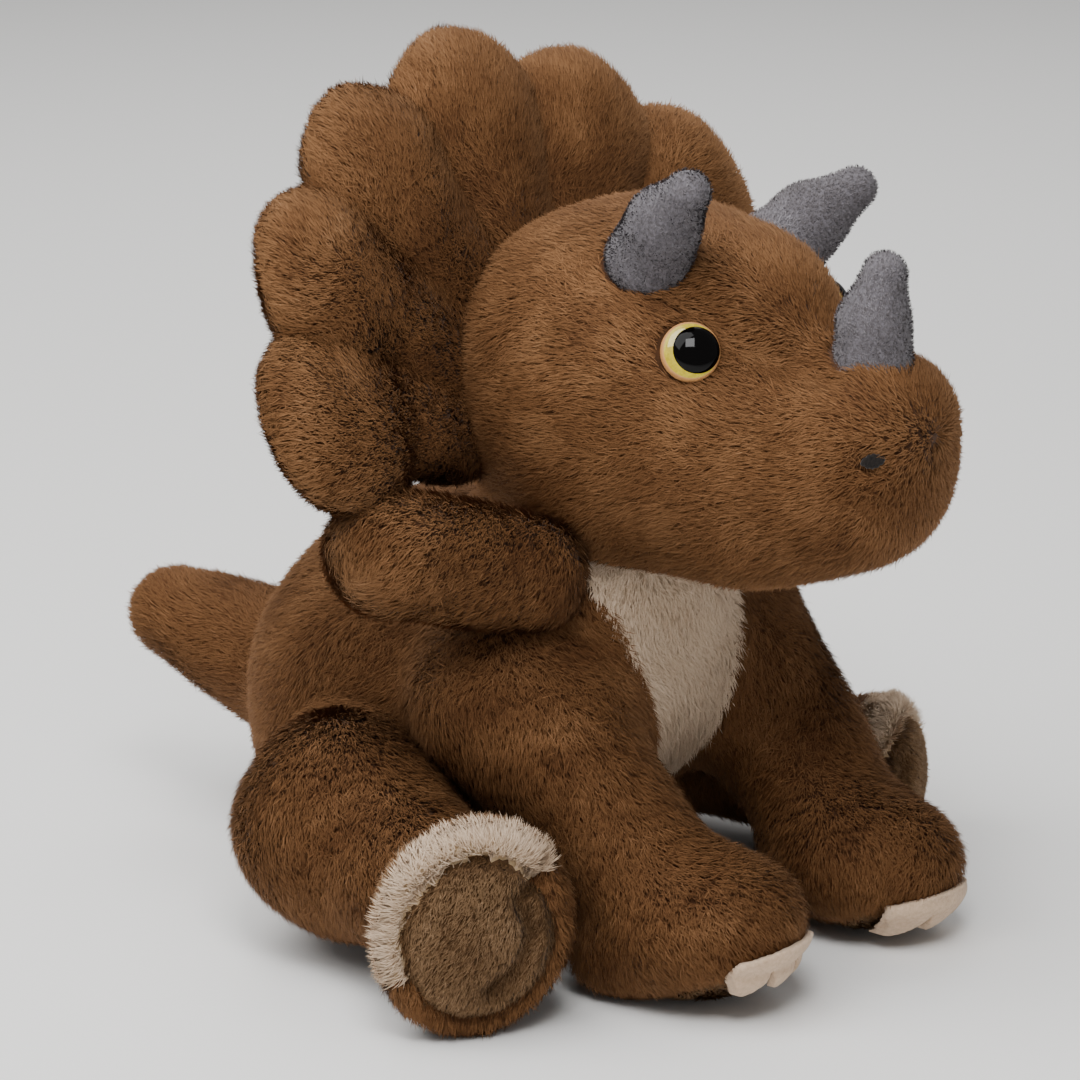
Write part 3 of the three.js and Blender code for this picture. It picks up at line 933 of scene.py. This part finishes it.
def rim_painted_light(points):
    """Lighter pile towards the rim of the frill and darker nearer its middle: painted light on the rim,
    painted shade towards the head.
    """
    return 0.9 * np.clip((length(points - np.array(FRILL)) - 80) / 20, -0.8, 1)


def frill():
    names = {0: "frill_lobe_crown"}
    for i in range(1, 5):
        names[i * LOBE_STEP] = f"frill_lobe_left_{i}"
        names[-i * LOBE_STEP] = f"frill_lobe_right_{i}"
    core = np.array(FRILL, float)
    inside_head = grown(HEAD, -1)
    for angle, node in names.items():
        field = lobe_field(angle)
        middle = frill_point(angle, 0.6)
        room = np.array([54, 48, 54])
        points, quads = net(field, middle - room, middle + room, PITCH)
        # The frill's pile gets painted light at its rim and painted shade nearer the head.
        plush(node, points, quads, field, lambda p: p - core, BROWN_PLUSH,
              node, riding("head"), 500 + angle, [inside_head], rim_painted_light)


# ---- horns, claws, eyes, nostrils ----------------------------------------------------------------

# For each horn: the middle of its base, the middle of its round tip, and the radius of its base.
HORNS = {
    "brow_horn_right": ((-23.5, -57, 187.5), (-32, -75, 208), 11),
    "brow_horn_left": ((24, -61, 180), (45, -72, 196), 12),
    "nose_horn": ((0, -109, 161), (0, -112, 187), 10.5),
}
HORN_TIP = 5.5  # radius
HORN_FUZZ = Coat("grey", length=1.3, density=3.5, width=0.22, lean=55, tuft=1.5, wild=0.8, spread=1.2)


def horn_field(name):
    """A cone of felt whose back bows out a little."""
    base, tip, base_radius = HORNS[name]
    base, tip = np.array(base, float), np.array(tip, float)
    middle = (base + tip) / 2 + np.array([0, 1.4, 0.4])
    waist = (base_radius + HORN_TIP) / 2 + 0.6
    return melted([taper(base, base_radius, middle, waist), taper(middle, waist, tip, HORN_TIP)], 3)


def horns():
    for name, (base, tip, _) in HORNS.items():
        field = horn_field(name)
        base, tip = np.array(base, float), np.array(tip, float)
        room = 15
        points, quads = net(field, np.minimum(base, tip) - room, np.maximum(base, tip) + room, 1.2)
        skin = mesh_object(f"{name}_felt", points, quads, [BACKINGS["grey"]])
        declare(skin, riding("head"), "grey_felt", [name, f"{name}_filling"], 0.9)
        fuzz = pile(f"{name}_fuzz", points, quads, field, steady(tip - base), HORN_FUZZ, 61)
        declare(fuzz, riding("head"), "grey_felt")


TOE = 10.5  # from one claw to the next
FELT_GAP = 3.2  # from a paw's skin to the middle of the felt
FELT_HALF = 1.0  # half the felt's thickness


def claw_outline(points, centre, low_end):
    """Below zero inside the three-pointed outline seen from the front."""
    x = points[:, 0] - centre[0]
    z = points[:, 2]
    near = x - np.clip(np.rint(x / TOE), -1, 1) * TOE
    low = low_end + 0.26 * near * near
    high = low_end + 12.5 - 0.008 * x * x
    return np.maximum.reduce([low - z, z - high, np.abs(x) - 1.5 * TOE])


def claws():
    for name, side in SIDES.items():
        paw = mirrored(PAWS[name], side)
        field = limb_field(f"arm_{name}")
        shell = lambda p: np.abs(field(p) - FELT_GAP) - FELT_HALF
        outline = lambda p: claw_outline(p, paw, CLAW_LOW[name])
        in_front = lambda p: p[:, 1] - (paw[1] - 8)
        felt = common(shell, outline, in_front)
        low = (paw[0] - 20, -124, 0)
        high = (paw[0] + 20, -84, 26)
        points, quads = net(felt, low, high, 0.8)
        made = mesh_object(f"paw_claws_felt_{name}", points, quads, [BACKINGS["felt"]])
        declare(made, riding(f"arm_{name}"), "cream_felt", [f"paw_claws_{name}"])


def disc_axes(normal):
    """The level way across a disc, the way up it, and the way out of it."""
    side = Vector(np.cross((0, 0, 1), normal)).normalized()
    return side, Vector(np.cross(normal, side)).normalized(), Vector(normal)


def lathe(name, profile, place, normal, materials):
    """A round piece about a normal: the profile gives radius, height and each band's material."""
    side, up, out = disc_axes(normal)
    segments = 48
    points, faces, slots = [], [], []
    for radius, height, _ in profile:
        for i in range(segments):
            angle = 2 * math.pi * i / segments
            across, along = radius * math.cos(angle), radius * math.sin(angle)
            points.append(Vector(place) + side * across + up * along + out * height)
    for ring in range(len(profile) - 1):
        for i in range(segments):
            j = (i + 1) % segments
            a, b = ring * segments, (ring + 1) * segments
            faces.append([a + i, a + j, b + j, b + i])
            slots.append(profile[ring][2])
    made = mesh_object(name, np.array(points), np.array(faces), materials)
    made.data.polygons.foreach_set("material_index", slots)
    return made


def dome(radius, rise, base):
    """Profile of a shallow dome, from its rim to its middle."""
    steps = 10
    rows = []
    for i in range(steps + 1):
        angle = math.pi / 2 * i / steps
        rows.append((max(radius * math.cos(angle), 0.01), base + rise * math.sin(angle), 0))
    return rows


def eyes():
    rim = principled("eye_rim", "c08c58", 0.35)
    iris = mottled("eye_iris", "a8921c", "cdb93a", 700, 0.0, 0.25, 0)
    iris.node_tree.nodes["Principled BSDF"].inputs["Coat Weight"].default_value = 0.5
    black = principled("eye_pupil", "030202", 0.05)
    for name, side in SIDES.items():
        place, normal = eye_place(side)
        across, up, _ = disc_axes(normal)
        profile = [(EYE_RADIUS, -1.0, 0), (EYE_RADIUS, 0.4, 0), (EYE_RADIUS - 0.3, 1.0, 0)]
        profile += [(EYE_RADIUS - 0.6, 1.25, 1), (6.0, 1.5, 1), (4.0, 1.8, 1), (0.01, 1.9, 1)]
        disc = lathe(f"eye_disc_{name}", profile, place, normal, [rim, iris])
        declare(disc, riding("head"), "iris_plastic", [f"eye_iris_{name}"])
        shifted = Vector(place) + across * PUPIL_SIDE_SHIFT + up * PUPIL_UP_SHIFT
        profile = dome(PUPIL_RADIUS, 2.4, 1.2)
        pupil = lathe(f"eye_pupil_dome_{name}", profile, shifted, normal, [black])
        declare(pupil, riding("head"), "pupil_plastic", [f"eye_pupil_{name}"])


def nostrils():
    """Five upright stitches each, the middle one the longest."""
    thread = mottled("nostril_thread", "060403", "1c1410", 1500, roughness=0.6)
    for name, side in SIDES.items():
        place, normal = nostril_place(side)
        place = on_head(place) + normal * 3.2
        across, up, out = (np.array(way) for way in disc_axes(normal))
        stitches = []
        for i in range(-2, 3):
            along = i * 1.15
            tall = 1.3 - 0.22 * i**2
            start = place + across * along - up * tall - out * 1.0
            end = place + across * (along + 0.5) + up * tall - out * 1.0
            stitches.append(taper(start, 0.65, end, 0.65))
        field = melted(stitches, 0.4)
        points, quads = net(field, place - 5, place + 5, 0.4)
        made = mesh_object(f"nostril_thread_{name}", points, quads, [thread])
        declare(made, riding("head"), "black_thread", [f"nostril_{name}"])


# ---- what is held inside --------------------------------------------------------------------


def neck_core():
    """The filling of the neck, a ball that the head and the torso hide."""
    points, quads = net(ball(NECK, 19), np.array(NECK) - 24, np.array(NECK) + 24, 2.4)
    core = mesh_object("neck_fibre", points, quads, [FIBRE])
    declare(core, riding("neck"), "fibre_filling", ["neck_filling"])


def inner_pieces():
    """Better materials for the CAD pieces that stay as they are."""
    linen = mottled("bag_linen", "a8956f", "c8b78f", 800)
    nylon = mottled("washer_nylon", "c8c4ba", "dedad0", 400, roughness=0.5)
    for name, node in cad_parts.items():
        if "filling" in name:
            cloth = FIBRE
        elif name == "pellet_bag":
            cloth = linen
        elif "washer" in name:
            cloth = nylon
        else:
            continue
        node.data.materials.clear()
        node.data.materials.append(cloth)


# ---- studio ------------------------------------------------------------------------------------


def area_light(name, azimuth, height, distance, size, power):
    """A square light that faces the toy, with its angles in degrees and its sizes in metres."""
    target = Vector((-0.01, -0.03, 0.11))
    way = Vector(facing_way(azimuth, height))
    data = bpy.data.lights.new(name, "AREA")
    data.size = size
    data.energy = power
    lamp = bpy.data.objects.new(name, data)
    lamp.location = target + way * distance
    lamp.rotation_mode = "QUATERNION"
    lamp.rotation_quaternion = way.to_track_quat("Z", "Y")
    bpy.context.scene.collection.objects.link(lamp)


def studio():
    """A pale floor under a small key light, a wide light from above and a light from behind."""
    floor = bpy.data.meshes.new("floor")
    reach = 6
    corners = [(-reach, -reach, 0), (reach, -reach, 0), (reach, reach, 0), (-reach, reach, 0)]
    floor.from_pydata(corners, [], [(0, 1, 2, 3)])
    floor.materials.append(principled("floor_white", "f2f1ef", 0.9))
    ground = bpy.data.objects.new("floor", floor)
    bpy.context.scene.collection.objects.link(ground)

    area_light("key", azimuth=-50, height=50, distance=1.1, size=0.35, power=7)
    area_light("top", azimuth=-115, height=60, distance=1.2, size=1.2, power=19)
    area_light("back", azimuth=130, height=45, distance=1.4, size=1.0, power=7)

    world = bpy.data.worlds.new("studio")
    world.use_nodes = True
    world.node_tree.nodes["Background"].inputs["Color"].default_value = (1, 1, 1, 1)
    world.node_tree.nodes["Background"].inputs["Strength"].default_value = 0.36
    bpy.context.scene.world = world


def aim_camera():
    """A long lens from the animal's front right, a little above it."""
    data = bpy.data.cameras.new("camera")
    data.lens = 160
    data.sensor_width = 36
    data.clip_start = 0.01
    camera = bpy.data.objects.new("camera", data)
    way = Vector(facing_way(-52, 16))
    camera.location = Vector((-0.0565, -0.048, 0.120)) + way * 1.2
    camera.rotation_mode = "QUATERNION"
    camera.rotation_quaternion = way.to_track_quat("Z", "Y")
    bpy.context.scene.collection.objects.link(camera)
    bpy.context.scene.camera = camera


torso()
head()
for name, side in SIDES.items():
    arm(name, side)
    leg(name, side)
tail()
frill()
horns()
claws()
eyes()
nostrils()
neck_core()
inner_pieces()
studio()
aim_camera()
